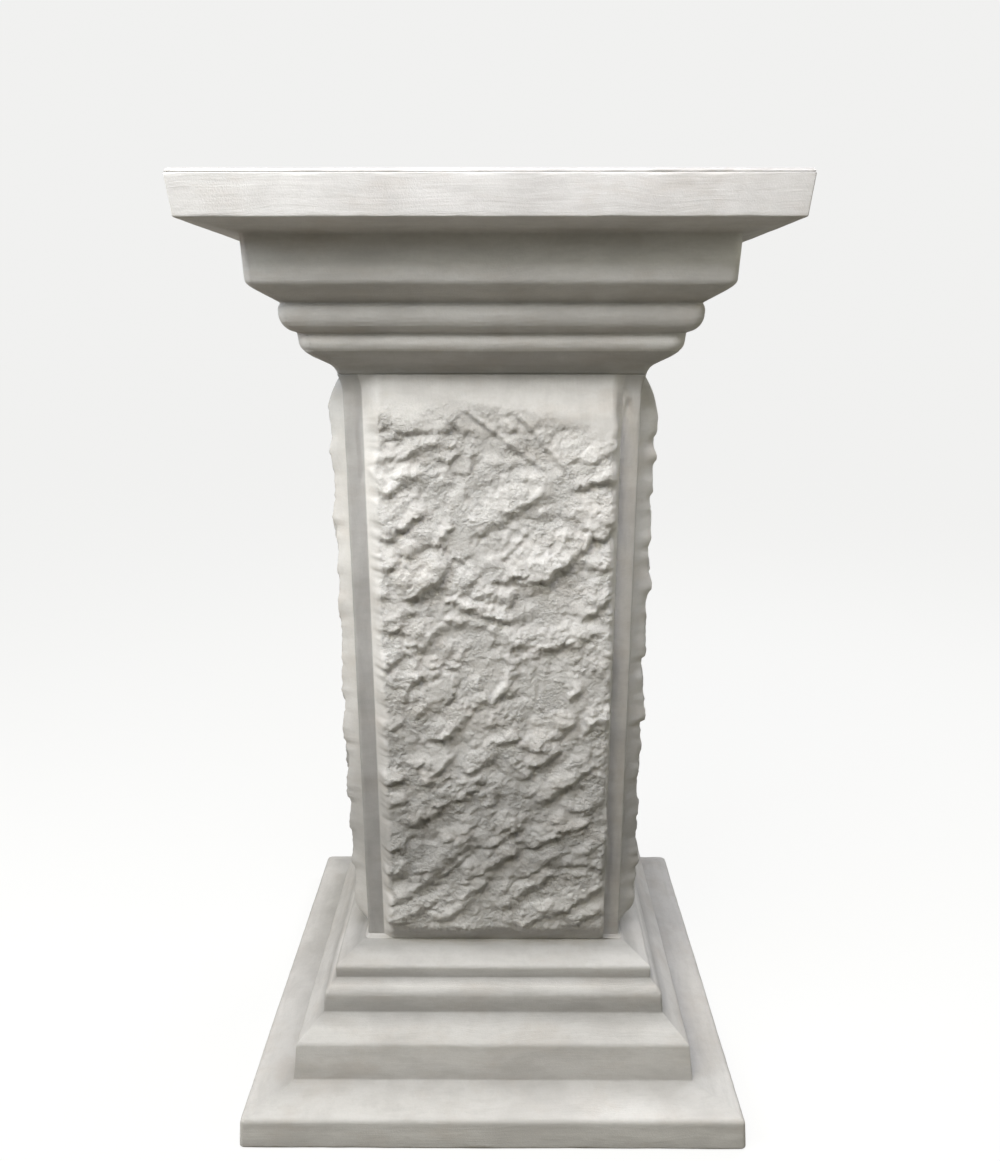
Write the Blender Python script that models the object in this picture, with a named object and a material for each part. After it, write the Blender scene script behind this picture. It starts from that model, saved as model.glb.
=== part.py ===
"""Square pedestal column: three castings stacked, a base, a rock-faced shaft and a capital.

Metres, +Z up, the seen face towards -Y, the underside at Z = 0.
"""
import math

import bpy
import numpy as np

MM = 0.001

# Overall
PLINTH_WIDTH = 424.0 * MM
JOINT_GAP = 0.3 * MM

# Base: half widths and heights of its steps, from the ground up
PLINTH_HALF = PLINTH_WIDTH / 2
PLINTH_DRAFT = 2.0 * MM
PLINTH_HEIGHT = 28.6 * MM
PLINTH_TOP_RISE = 6.8 * MM
STEP_C_HALF = 172.5 * MM
STEP_C_DRAFT = 3.7 * MM
STEP_C_HEIGHT = 33.4 * MM
STEP_C_SLOPE_RISE = 16.9 * MM
STEP_B_HALF = 148.1 * MM
STEP_B_DRAFT = 0.9 * MM
STEP_B_HEIGHT = 17.6 * MM
STEP_B_SLOPE_RISE = 10.0 * MM
STEP_A_HALF = 137.4 * MM
STEP_A_HEIGHT = 10.9 * MM
STEP_A_SLOPE_RISE = 12.7 * MM
ARRIS_WEAR = 1.6 * MM
PLINTH_WEAR = 3.2 * MM
CRISP_CORNER = 1.5 * MM
WORN_CORNER = 3.0 * MM

# Shaft: square pillar with a raised rock-faced panel on each face
PILLAR_HALF = 111.3 * MM
PILLAR_ARRIS = 1.6 * MM
MARGIN_WIDTH = 14.0 * MM
PANEL_HALF = 89.0 * MM
SEEN_PANEL_OFFSET = 2.5 * MM
PANEL_PROJECTION = 16.2 * MM
PANEL_TOP_SLOPE = 32.0 * MM
PANEL_TOP_SHARE = 0.36
PANEL_FOOT_SLOPE = 20.0 * MM
PANEL_FOOT_SHARE = 0.20
SHAFT_HEIGHT = 483.8 * MM
EDGE_WAVE = 1.7 * MM
EDGE_WAVE_LENGTH = 41.0 * MM

# Capital: mouldings from the shaft's head up to the slab's top
SEAT_EDGE = 1.2 * MM
CAVETTO_RISE = 18.7 * MM
CAVETTO_TURN = 7.0 * MM
FILLET_HALF = 138.9 * MM
FILLET_HEIGHT = 10.5 * MM
FILLET_CORNER = 11.0 * MM
BEAD_HALF = 149.0 * MM
BEAD_HEIGHT = 20.5 * MM
BEAD_BELLY_SHARE = 0.62
BEAD_TOP_INSET = 1.6 * MM
BEAD_CORNER = 8.0 * MM
BED_CORNER = 7.0 * MM
BED_TURN = 4.0 * MM
BED_HALF = 167.1 * MM
BED_DRAFT = 1.2 * MM
BED_HEIGHT = 32.1 * MM
BED_UNDER_RISE = 9.5 * MM
SLAB_HALF = 200.8 * MM
SLAB_DRAFT = 2.4 * MM
SLAB_UNDER_RISE = 6.6 * MM
SLAB_HEIGHT = 27.3 * MM
SLAB_ARRIS = 2.4 * MM

# Rock face
LUMP_HEIGHT = 6.0 * MM
LUMP_LENGTH = 27.0 * MM
LUMP_BREADTH = 11.5 * MM
LUMP_ANGLE = 38.0
LUMP_PITCH = 36.0 * MM
LUMPS_ACROSS = 5
HIDDEN_SEEDS = (11, 23, 37)
FACE_SINK = 3.6 * MM
RELIEF_GAIN = 1.2
LEAST_PROJECTION = 1.5 * MM
FRONT_COLUMNS = 28
OTHER_COLUMNS = 14
SHAFT_LEVELS = 56
CORNER_STEPS = 3

# Largest lumps of the seen face: across, up, half length, half breadth (mm), angle, height (mm)
SEEN_LUMPS = (
    (-54, 589, 36, 14, -4, 5.5),
    (-59, 566, 30, 9, 22, 3.6),
    (76, 548, 19, 11, 12, 5.2),
    (-72, 518, 25, 15, 42, 4.4),
    (-49, 502, 27, 11, 30, 4.0),
    (49, 493, 37, 17, 38, 5.2),
    (78, 520, 20, 20, 20, 5.0),
    (74, 455, 20, 17, 45, 4.4),
    (-53, 473, 25, 14, 35, 4.2),
    (-8, 444, 31, 9, -20, 5.0),
    (58, 424, 26, 14, 12, 3.8),
    (-35, 346, 26, 10, 43, 4.8),
    (-2, 389, 22, 20, 70, 2.6),
    (47, 340, 28, 10, 38, 4.4),
    (58, 299, 30, 11, 42, 4.2),
    (-50, 274, 27, 11, 35, 4.2),
    (50, 253, 30, 12, 28, 4.2),
    (3, 253, 25, 14, 42, 4.2),
    (-40, 229, 35, 10, 42, 4.2),
    (79, 233, 20, 24, 80, 3.8),
    (-64, 199, 31, 10, 40, 4.0),
    (23, 195, 35, 12, 35, 4.2),
    (69, 195, 31, 16, 30, 3.8),
)


def clear_scene():
    """Remove every object so that the script starts from nothing."""
    for thing in list(bpy.data.objects):
        bpy.data.objects.remove(thing, do_unlink=True)


def square_ring(half, corner, z):
    """Points of a square section with rounded corners, anticlockwise from above."""
    points = []
    centres = ((1, -1), (1, 1), (-1, 1), (-1, -1))
    for quarter, (sx, sy) in enumerate(centres):
        for step in range(CORNER_STEPS + 1):
            angle = math.radians(-90 + 90 * quarter + 90 * step / CORNER_STEPS)
            x = sx * (half - corner) + corner * math.cos(angle)
            y = sy * (half - corner) + corner * math.sin(angle)
            points.append((x, y, z))
    return points


def loft(name, rings, colour, smooth=False):
    """Close a stack of equal rings, bottom first, into one solid body."""
    count = len(rings[0])
    vertices = [point for ring in rings for point in ring]
    faces = [tuple(reversed(range(count)))]
    for level in range(len(rings) - 1):
        low = level * count
        high = low + count
        for i in range(count):
            j = (i + 1) % count
            faces.append((low + i, low + j, high + j, high + i))
    top = (len(rings) - 1) * count
    faces.append(tuple(range(top, top + count)))
    mesh = bpy.data.meshes.new(name)
    mesh.from_pydata(vertices, [], faces)
    mesh.update()
    body = bpy.data.objects.new(name, mesh)
    bpy.context.scene.collection.objects.link(body)
    material = bpy.data.materials.new(name + "_stone")
    material.use_nodes = True
    shader = material.node_tree.nodes["Principled BSDF"]
    shader.inputs["Base Color"].default_value = (*colour, 1.0)
    shader.inputs["Roughness"].default_value = 0.85
    mesh.materials.append(material)
    for polygon in mesh.polygons:
        polygon.use_smooth = smooth and len(polygon.vertices) == 4
    return body


def arc_profile(start, end, out_first, steps):
    """Quarter-ellipse of (half width, height) points from start to end, start left out."""
    (w0, z0), (w1, z1) = start, end
    points = []
    for step in range(1, steps + 1):
        turn = math.radians(90 * step / steps)
        near, far = math.sin(turn), 1 - math.cos(turn)
        across, up = (near, far) if out_first else (far, near)
        points.append((w0 + (w1 - w0) * across, z0 + (z1 - z0) * up))
    return points


def base_profile():
    """Half width, height and plan corner radius of each level of the base, and its seat's height."""
    z_c = PLINTH_HEIGHT + PLINTH_TOP_RISE
    z_c_top = z_c + STEP_C_HEIGHT
    z_b = z_c_top + STEP_C_SLOPE_RISE
    z_b_top = z_b + STEP_B_HEIGHT
    z_a = z_b_top + STEP_B_SLOPE_RISE
    z_a_top = z_a + STEP_A_HEIGHT
    z_seat = z_a_top + STEP_A_SLOPE_RISE
    seat_half = PILLAR_HALF + PANEL_PROJECTION * PANEL_FOOT_SHARE + SEAT_EDGE
    plinth_top = PLINTH_HALF - PLINTH_DRAFT
    c_top = STEP_C_HALF - STEP_C_DRAFT
    b_top = STEP_B_HALF - STEP_B_DRAFT
    levels = [
        (PLINTH_HALF - ARRIS_WEAR, 0.0, WORN_CORNER),
        (PLINTH_HALF, ARRIS_WEAR, WORN_CORNER),
        (plinth_top, PLINTH_HEIGHT - PLINTH_WEAR, WORN_CORNER),
        (plinth_top - 0.3 * PLINTH_WEAR, PLINTH_HEIGHT - 0.3 * PLINTH_WEAR, WORN_CORNER),
        (plinth_top - PLINTH_WEAR, PLINTH_HEIGHT, WORN_CORNER),
        (STEP_C_HALF, z_c, CRISP_CORNER),
        (c_top, z_c_top - ARRIS_WEAR, CRISP_CORNER),
        (c_top - ARRIS_WEAR, z_c_top, CRISP_CORNER),
        (STEP_B_HALF, z_b, CRISP_CORNER),
        (b_top, z_b_top - ARRIS_WEAR, WORN_CORNER),
        (b_top - ARRIS_WEAR, z_b_top, WORN_CORNER),
        (STEP_A_HALF, z_a, CRISP_CORNER),
        (STEP_A_HALF, z_a_top - ARRIS_WEAR, CRISP_CORNER),
        (STEP_A_HALF - ARRIS_WEAR, z_a_top, CRISP_CORNER),
        (seat_half, z_seat, CRISP_CORNER),
    ]
    return levels, z_seat


def capital_profile(z_foot):
    """Half width, height and plan corner radius of each level of the capital."""
    foot_half = PILLAR_HALF + PANEL_PROJECTION * PANEL_TOP_SHARE + SEAT_EDGE
    z_fillet = z_foot + CAVETTO_RISE
    z_groove = z_fillet + FILLET_HEIGHT
    z_bead_top = z_groove + BEAD_HEIGHT
    z_bed = z_bead_top + BED_UNDER_RISE
    z_bed_top = z_bed + BED_HEIGHT
    z_slab = z_bed_top + SLAB_UNDER_RISE
    z_top = z_slab + SLAB_HEIGHT
    turn_start = (FILLET_HALF - CAVETTO_TURN, z_fillet - 0.8 * CAVETTO_TURN)
    belly = (BEAD_HALF, z_groove + BEAD_BELLY_SHARE * BEAD_HEIGHT)
    bed_start = (BED_HALF - BED_DRAFT - BED_TURN, z_bed - 0.5 * BED_TURN)
    levels = [(foot_half, z_foot, WORN_CORNER), (*turn_start, BEAD_CORNER)]
    levels += [(w, z, FILLET_CORNER) for w, z in
               arc_profile(turn_start, (FILLET_HALF, z_fillet + 0.3 * CAVETTO_TURN), True, 2)]
    levels += [(FILLET_HALF, z_groove, FILLET_CORNER)]
    levels += [(w, z, BEAD_CORNER) for w, z in arc_profile((FILLET_HALF, z_groove), belly, True, 4)]
    levels += [(w, z, BEAD_CORNER) for w, z in
               arc_profile(belly, (BEAD_HALF - BEAD_TOP_INSET, z_bead_top), False, 2)]
    levels += [(*bed_start, BED_CORNER)]
    levels += [(w, z, BED_CORNER) for w, z in
               arc_profile(bed_start, (BED_HALF - BED_DRAFT, z_bed + BED_TURN), True, 3)]
    levels += [
        (BED_HALF, z_bed_top, BED_CORNER),
        (SLAB_HALF - SLAB_DRAFT, z_slab, CRISP_CORNER),
        (SLAB_HALF, z_top - SLAB_ARRIS, CRISP_CORNER),
        (SLAB_HALF - 0.5 * SLAB_ARRIS, z_top, CRISP_CORNER),
    ]
    return levels


def scattered_lumps(seed, z_low, z_high):
    """Lumps for a face that the picture hides, on a shaken lattice of the same sizes."""
    rng = np.random.default_rng(seed)
    lumps = []
    rows = int((z_high - z_low) / LUMP_PITCH)
    for row in range(rows + 1):
        for column in range(LUMPS_ACROSS):
            across = PANEL_HALF * (2 * (column + 0.5 * (row % 2)) / (LUMPS_ACROSS - 0.5) - 1)
            up = z_low + (row + 0.5) * (z_high - z_low) / (rows + 1)
            across += rng.uniform(-0.10, 0.10) * PANEL_HALF
            up += rng.uniform(-0.3, 0.3) * LUMP_LENGTH
            length = LUMP_LENGTH * rng.uniform(0.65, 1.2)
            breadth = LUMP_BREADTH * rng.uniform(0.8, 1.35)
            angle = LUMP_ANGLE + rng.uniform(-18, 14)
            height = LUMP_HEIGHT * rng.uniform(0.6, 1.0)
            lumps.append((across, up, length, breadth, angle, height))
    return lumps


def rock_height(across, up, lumps):
    """Upper envelope of leaning domes: each is highest towards its lower right edge."""
    height = np.zeros(np.broadcast(across, up).shape)
    for u0, z0, length, breadth, angle, top in lumps:
        c = math.cos(math.radians(angle))
        s = math.sin(math.radians(angle))
        along = ((across - u0) * c + (up - z0) * s) / length
        over = ((across - u0) * s - (up - z0) * c) / breadth
        dome = top * (1.0 - along ** 2 - over ** 2 + 0.35 * over)
        height = np.maximum(height, dome)
    return height


def edge_wave(up, turn):
    """Wandering of a panel's side edge along its height."""
    phase = 2 * math.pi * up / EDGE_WAVE_LENGTH
    return EDGE_WAVE * (math.sin(phase + turn) + 0.6 * math.sin(0.37 * phase + 2.0 * turn)) / 1.6


def smooth_step(t):
    """Cubic ease between 0 and 1."""
    t = np.clip(t, 0.0, 1.0)
    return t * t * (3.0 - 2.0 * t)


def shaft_rings(z_foot, z_head):
    """Sections of the shaft: pillar arrises, flat margins, sloping flanks and the rock panels."""
    seen = [(u * MM, z * MM, a * MM, b * MM, t, h * MM * RELIEF_GAIN) for u, z, a, b, t, h in SEEN_LUMPS]
    faces = [(FRONT_COLUMNS, SEEN_PANEL_OFFSET, seen)]
    for seed in HIDDEN_SEEDS:
        lumps = scattered_lumps(seed, z_foot + PANEL_FOOT_SLOPE, z_head - PANEL_TOP_SLOPE)
        faces.append((OTHER_COLUMNS, 0.0, lumps))
    levels = [z_foot + PANEL_FOOT_SLOPE * share for share in (0.0, 0.25, 0.55)]
    levels += list(np.linspace(z_foot + PANEL_FOOT_SLOPE, z_head - PANEL_TOP_SLOPE, SHAFT_LEVELS - 6))
    levels += [z_head - PANEL_TOP_SLOPE * share for share in (0.66, 0.33, 0.0)]
    flank_foot = PILLAR_HALF - MARGIN_WIDTH
    arris = PILLAR_HALF - PILLAR_ARRIS
    rings = []
    for z in levels:
        rise = smooth_step((z - z_foot) / PANEL_FOOT_SLOPE)
        fall = smooth_step((z_head - z) / PANEL_TOP_SLOPE)
        share = min(PANEL_FOOT_SHARE + (1 - PANEL_FOOT_SHARE) * rise,
                    PANEL_TOP_SHARE + (1 - PANEL_TOP_SHARE) * fall)
        rough = float(rise * fall)
        ring = []
        for side, (columns, offset, lumps) in enumerate(faces):
            left = offset - PANEL_HALF + rough * edge_wave(z, 1.0 + side)
            right = offset + PANEL_HALF + rough * edge_wave(z, 2.7 + side)
            across = np.linspace(left, right, columns + 1)
            relief = (rock_height(across, np.full_like(across, z), lumps) - FACE_SINK) * rough
            out = np.maximum(PANEL_PROJECTION * share + relief, LEAST_PROJECTION)
            u = [-arris, -flank_foot, *across, flank_foot, arris]
            n = [PILLAR_HALF, PILLAR_HALF, *(PILLAR_HALF + out), PILLAR_HALF, PILLAR_HALF]
            for a, b in zip(u, n):
                x, y = ((a, -b), (b, a), (-a, b), (-b, -a))[side]
                ring.append((x, y, float(z)))
        rings.append(ring)
    return rings


def build():
    """Make the three castings."""
    clear_scene()
    base_levels, z_seat = base_profile()
    loft("base", [square_ring(w, r, z) for w, z, r in base_levels], (0.62, 0.61, 0.57))
    z_foot = z_seat + JOINT_GAP
    z_head = z_foot + SHAFT_HEIGHT
    loft("shaft", shaft_rings(z_foot, z_head), (0.66, 0.65, 0.61), smooth=True)
    capital_levels = capital_profile(z_head + JOINT_GAP)
    loft("capital", [square_ring(w, r, z) for w, z, r in capital_levels], (0.64, 0.63, 0.59))


build()
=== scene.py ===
# %% [markdown]
# A square pedestal column in off-white painted cast stone. Three castings are stacked: a stepped base, a
# square shaft with a rock-faced panel on every face, and a moulded capital under a broad slab. Each casting
# gets a fine surface of its own here, in the place of its plain solid.

# %% Frame
import math

import bpy
import numpy as np
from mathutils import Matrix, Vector


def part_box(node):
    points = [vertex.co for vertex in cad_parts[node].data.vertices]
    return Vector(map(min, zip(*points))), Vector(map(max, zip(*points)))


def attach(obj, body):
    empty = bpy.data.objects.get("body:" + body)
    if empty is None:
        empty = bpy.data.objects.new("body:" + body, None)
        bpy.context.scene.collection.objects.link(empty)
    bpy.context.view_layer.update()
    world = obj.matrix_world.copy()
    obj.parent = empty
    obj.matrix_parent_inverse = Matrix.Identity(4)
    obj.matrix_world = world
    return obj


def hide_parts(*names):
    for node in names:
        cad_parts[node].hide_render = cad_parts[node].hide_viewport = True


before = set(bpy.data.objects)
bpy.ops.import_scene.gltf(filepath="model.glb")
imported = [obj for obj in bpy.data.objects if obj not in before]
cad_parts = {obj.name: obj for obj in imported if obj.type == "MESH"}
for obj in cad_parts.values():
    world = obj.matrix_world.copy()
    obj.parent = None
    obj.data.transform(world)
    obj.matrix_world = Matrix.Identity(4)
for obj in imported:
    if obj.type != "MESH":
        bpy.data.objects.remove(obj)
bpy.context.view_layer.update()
MM = 0.001

base_low, base_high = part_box("base")
shaft_low, shaft_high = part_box("shaft")
capital_low, capital_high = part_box("capital")
PLINTH_HALF = base_high[0]
SLAB_HALF = capital_high[0]
TOP = capital_high[2]
print("base to", round(base_high[2], 4), "shaft to", round(shaft_high[2], 4), "top", round(TOP, 4))

# %% [markdown]
# ## Noise
# Nothing on a hand-finished casting is dead straight. Smooth lattice noise gives the slow wander of an arris,
# the ragged rim of a lump and the crumb of the face. It is made once as a table of random numbers, and looked
# up with a smooth blend, so that a surface of a hundred thousand points costs a few array operations.

# %% Noise functions
NOISE_CELLS = 64
noise_table = np.random.default_rng(4).uniform(-1, 1, (NOISE_CELLS, NOISE_CELLS, NOISE_CELLS))


def ease(t):
    """Cubic ease of t, held between 0 and 1."""
    t = np.clip(t, 0.0, 1.0)
    return t * t * (3.0 - 2.0 * t)


def noise(x, y, z=0.0):
    """Smooth noise between -1 and 1: the eight corners of the unit cell round the point, blended by ease."""
    x, y, z = np.broadcast_arrays(x, y, z)
    cell = [np.floor(c).astype(int) for c in (x, y, z)]
    part = [ease(c - f) for c, f in zip((x, y, z), cell)]
    total = np.zeros(x.shape)
    for corner in range(8):
        step = (corner & 1, corner >> 1 & 1, corner >> 2 & 1)
        weight = np.ones(x.shape)
        for near, s in zip(part, step):
            weight = weight * (near if s else 1 - near)
        i, j, k = ((c + s) % NOISE_CELLS for c, s in zip(cell, step))
        total += weight * noise_table[i, j, k]
    return total


def fractal(x, y, z, octaves=3):
    """Noise of several sizes: each octave has half the size and half the height of the one before."""
    total = 0.0
    for octave in range(octaves):
        scale = 2.03 ** octave
        total = total + noise(x * scale + 7.3 * octave, y * scale + 3.1 * octave, z * scale) / scale
    return total


print("noise table of", noise_table.size, "random numbers")

# %% [markdown]
# ## Mesh helper
# Every piece is a numpy array of points and a list of faces. Each point also carries a run, in metres along
# and across the way the brush went, a rock value, which is 1 on the rock faces and 0 on smooth work, and a
# tone, by which the paint's colour is multiplied there: below 1 where shade is painted in, above 1 where
# light is painted in, with some grime low on the shaft and mottling on its margins.

# %% Mesh helper
def make_piece(name, points, faces, run, rock, tone, node=None):
    """Object from arrays: points (n, 3), faces, run (n, 2), rock (n) and tone (n). It rides on the column."""
    mesh = bpy.data.meshes.new(name)
    mesh.from_pydata(points.tolist(), [], faces)
    mesh.update()
    mesh.polygons.foreach_set("use_smooth", np.ones(len(mesh.polygons), dtype=bool))
    layers = (("run_along", run[:, 0]), ("run_across", run[:, 1]), ("rock", rock), ("tone", tone))
    for label, values in layers:
        layer = mesh.attributes.new(label, "FLOAT", "POINT")
        layer.data.foreach_set("value", np.ascontiguousarray(values, dtype=np.float32))
    piece = bpy.data.objects.new(name, mesh)
    bpy.context.scene.collection.objects.link(piece)
    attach(piece, "root")
    if node:
        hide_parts(node)
    triangles = sum(len(face) - 2 for face in faces)
    print(name, len(points), "points", triangles, "triangles")
    return piece


def on_side(side, across, out):
    """Plan coordinates of a point on one of the four sides, 0 being the seen one."""
    return ((across, -out), (out, across), (-across, out), (-out, -across))[side]


# %% [markdown]
# ## Mouldings
# The base and the capital are plain mouldings: one profile carried round a square and mitred at the corners.
# The real ones were cast in a mould and rubbed down, so every arris is a little round and nothing runs dead
# true. The profile is a chain of corners with a radius at each. It is swept round the four sides, then pushed
# in a little by a slow wander, by the rubbing of the hand and by wear on the arrises.

# %% Mouldings
FILLET_STEPS = 5
CORNER_STEPS = 6
ALONG_STEP = 4.4 * MM
PROFILE_STEP = 1.9 * MM
# Most that a rounding takes of the straight on either side of it
ROUND_SHARE = 0.45
# Sizes of the noise in the wander, the rubbing and the wear
WANDER_SIZE = 70 * MM
RUB_SIZE = 13 * MM
WEAR_SIZE = 9 * MM


def rounded_profile(corners):
    """Rows (half width, height, plan radius, wear, tone) of a chain of corners. A corner is half width,
    height, radius, plan radius and tone, and may end with the tone halfway to the next corner."""
    rows = []
    last = len(corners) - 1
    for i, (w, z, radius, plan, tone, *halfway_tone) in enumerate(corners):
        here = np.array([w, z])
        if i in (0, last) or radius <= 0:
            rows.append((w, z, plan, 0.0, tone))
        else:
            before = np.array(corners[i - 1][:2]) - here
            after = np.array(corners[i + 1][:2]) - here
            straight = min(np.linalg.norm(before), np.linalg.norm(after))
            reach = min(radius, ROUND_SHARE * straight)
            start = here + before / np.linalg.norm(before) * reach
            end = here + after / np.linalg.norm(after) * reach
            for t in np.linspace(0, 1, FILLET_STEPS):
                x, y = (1 - t) ** 2 * start + 2 * t * (1 - t) * here + t ** 2 * end
                rows.append((x, y, plan, 1.0 - abs(2 * t - 1), tone))
        if halfway_tone:
            half_w, half_z, _, half_plan = (np.array(corners[i][:4]) + corners[i + 1][:4]) / 2
            rows.append((half_w, half_z, half_plan, 0.0, halfway_tone[0]))
    dense = [rows[0]]
    for row in rows[1:]:
        gap = math.dist(row[:2], dense[-1][:2])
        pieces = max(1, math.ceil(gap / PROFILE_STEP))
        old = np.array(dense[-1])
        for k in range(1, pieces + 1):
            dense.append(tuple(old + (np.array(row) - old) * k / pieces))
    return np.array(dense)


def sweep(name, corners, wander, rub, node=None, ring=False):
    """A profile swept round a square. On a side, along is share * (w - plan) and out is w; at a corner both
    follow an arc of the plan radius. Every point is then pushed in along the profile's normal by slow noise
    and by fine noise, and further where an arris is worn. A ring's profile is closed in itself. Any other
    piece is closed with two flat caps, and keeps its lowest edge in place if it stands on another piece."""
    profile = rounded_profile(corners)
    w, z, plan, wear, tone = (column[:, None] for column in profile.T)
    plan = np.minimum(plan, 0.5 * w)
    slope = np.gradient(profile[:, :2], axis=0)
    slope /= np.linalg.norm(slope, axis=1)[:, None]
    out_w, out_z = slope[:, 1:], -slope[:, :1]
    steps = np.linalg.norm(np.diff(profile[:, :2], axis=0), axis=1)
    travel = np.concatenate([[0], np.cumsum(steps)])[:, None]
    straight = np.linspace(-1, 1, int(2 * w.max() / ALONG_STEP) + 1)
    turn = np.linspace(0, math.pi / 2, CORNER_STEPS + 1)[1:-1]
    share = np.concatenate([straight, np.ones(len(turn))])[None]
    bend = np.concatenate([np.zeros(len(straight)), turn])[None]
    along = share * (w - plan) + plan * np.sin(bend)
    out = w - plan + plan * np.cos(bend)
    held = 1.0 if ring or z[0, 0] <= 0 else ease((z - z[0]) / (4 * MM))
    points, run = [], []
    for side in range(4):
        x, y = on_side(side, along, out)
        nx, ny = on_side(side, np.sin(bend), np.cos(bend))
        slow = fractal(x / WANDER_SIZE, y / WANDER_SIZE, z / WANDER_SIZE + 5.0, 2)
        fine = fractal(x / RUB_SIZE, y / RUB_SIZE, z / RUB_SIZE + 11.0, 3)
        worn = np.maximum(0.0, noise(x / WEAR_SIZE, y / WEAR_SIZE, z / WEAR_SIZE + 20.0) - 0.1)
        push = -(wander * (0.6 + 0.5 * slow) + rub * (0.5 + 0.5 * fine) + 2.2 * rub * wear * worn) * held
        height = np.clip(z + push * out_z, z.min(), z.max())
        points.append(np.stack([x + push * out_w * nx, y + push * out_w * ny, height], -1))
        wobble = 5 * MM * fractal(along / (60 * MM), travel / (50 * MM), 3.5 + side, 2)
        run.append(np.stack([along + side * 1.7, travel + wobble], -1))
    points, run = np.concatenate(points, 1), np.concatenate(run, 1)
    index = np.arange(points.shape[0] * points.shape[1]).reshape(points.shape[:2])
    low, high = (index, np.roll(index, -1, 0)) if ring else (index[:-1], index[1:])
    quads = np.stack([low, np.roll(low, -1, 1), np.roll(high, -1, 1), high], axis=-1).reshape(-1, 4)
    caps = [] if ring else [tuple(index[0][::-1].tolist()), tuple(index[-1].tolist())]
    flat = points.reshape(-1, 3)
    tones = np.broadcast_to(tone, index.shape).reshape(-1)
    return make_piece(name, flat, quads.tolist() + caps, run.reshape(-1, 2), np.zeros(len(flat)), tones, node)


# %% [markdown]
# ## Base
# A low plinth, a battered step under a long weathered slope, and two thin steps below the shaft's seat. Every
# tread falls outwards, as casts from a rigid mould do, and its arris is rubbed round.

# %% Base
# Plan radii of the corners, and half width of the flat cap in the middle
CRISP = 1.5 * MM
WORN = 4.0 * MM
CAP_HALF = 60 * MM
z_seat = base_high[2]
SEAT_HALF = 115.7 * MM
PLINTH_TREAD = 28.6 * MM
STEP_C_FOOT = 35.4 * MM
STEP_C_HEAD = 68.8 * MM
STEP_B_FOOT = 85.7 * MM
STEP_B_HEAD = 103.3 * MM
STEP_A_FOOT = 113.3 * MM
STEP_A_HEAD = 124.2 * MM

# The last columns give the tone. It is lower round the shaft's seat and in the inner corners of the steps,
# which is painted shade, and on the thin steps' faces, which is painted shade with some grime. It is higher
# on the plinth's face, its top arris and the lower thin step's tread, which is painted light.
base_corners = [
    (PLINTH_HALF - 1.8 * MM, 0.0, 0.0, WORN, 0.95),
    (PLINTH_HALF, 2.0 * MM, 1.6 * MM, WORN, 1.05, 1.24),
    (PLINTH_HALF - 2.0 * MM, PLINTH_TREAD, 4.5 * MM, WORN, 1.10, 0.98),
    (172.5 * MM, STEP_C_FOOT, 1.2 * MM, CRISP, 0.78, 0.98),
    (168.8 * MM, STEP_C_HEAD, 2.2 * MM, CRISP, 1.02, 1.0),
    (148.1 * MM, STEP_B_FOOT, 1.2 * MM, CRISP, 0.68, 0.74),
    (147.2 * MM, STEP_B_HEAD, 2.6 * MM, WORN, 0.88, 1.06),
    (137.4 * MM, STEP_A_FOOT, 1.0 * MM, CRISP, 0.70, 0.82),
    (137.4 * MM, STEP_A_HEAD, 2.2 * MM, CRISP, 0.93, 0.84),
    (SEAT_HALF + 4 * MM, z_seat - 2.4 * MM, 0.0, CRISP, 0.58),
    (SEAT_HALF, z_seat, 1.0 * MM, CRISP, 0.60),
    (CAP_HALF, z_seat, 0.0, CRISP, 0.60),
]
base_piece = sweep("base_casting", base_corners, 0.35 * MM, 0.22 * MM, "base")

# %% [markdown]
# ## Capital
# From the shaft up: a slope, a fillet, a bead, a deep bed mould and the slab. The mouldings' corners are
# rounder than the slab's, which keep their mitres sharp. The slab's top is trowelled flat.

# %% Capital
z_foot = capital_low[2]
Z_FILLET = z_foot + 18.7 * MM
Z_GROOVE = Z_FILLET + 10.5 * MM
Z_BEAD_TOP = Z_GROOVE + 19.3 * MM
Z_BED = Z_BEAD_TOP + 10.7 * MM
Z_BED_TOP = Z_BED + 32.1 * MM
Z_SLAB = Z_BED_TOP + 5.9 * MM
BEAD_HALF = 149.0 * MM
FILLET_HALF = 138.9 * MM
BED_HALF = 167.1 * MM
FOOT_HALF = 114.3 * MM
# The bead's full height, which the bed mould covers a little, and the corners of its round under side
BEAD_HEIGHT = 20.5 * MM
BEAD_CORNERS = 6

# The last columns give the tone. It is lower on the faces that look down, in the crease over the bead, under
# the slab and in the thin line at the slab's top edge, which is painted shade. It is higher halfway down the
# bed mould and on the slab's face and the strip along its top edge, which is painted light.
capital_corners = [
    (FOOT_HALF, z_foot, 0.0, 3 * MM, 0.70),
    (FOOT_HALF + 0.9 * MM, z_foot + 2.2 * MM, 1.0 * MM, 4 * MM, 0.76),
    (FOOT_HALF + 4.0 * MM, z_foot + 6.0 * MM, 3.0 * MM, 6 * MM, 0.78),
    (FILLET_HALF - 7 * MM, Z_FILLET - 5.6 * MM, 5 * MM, 9 * MM, 0.78),
    (FILLET_HALF - 0.6 * MM, Z_FILLET + 0.4 * MM, 4 * MM, 11 * MM, 0.98),
    (FILLET_HALF, Z_GROOVE - 0.5 * MM, 0.6 * MM, 10 * MM, 0.84),
]
bead_under = 0.62 * BEAD_HEIGHT
for k in range(BEAD_CORNERS):
    t = math.radians(90 * (k + 0.6) / BEAD_CORNERS)
    half = FILLET_HALF + (BEAD_HALF - FILLET_HALF) * math.sin(t)
    capital_corners += [(half, Z_GROOVE + bead_under * (1 - math.cos(t)), 1.5 * MM, 8 * MM, 0.86)]
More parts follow.
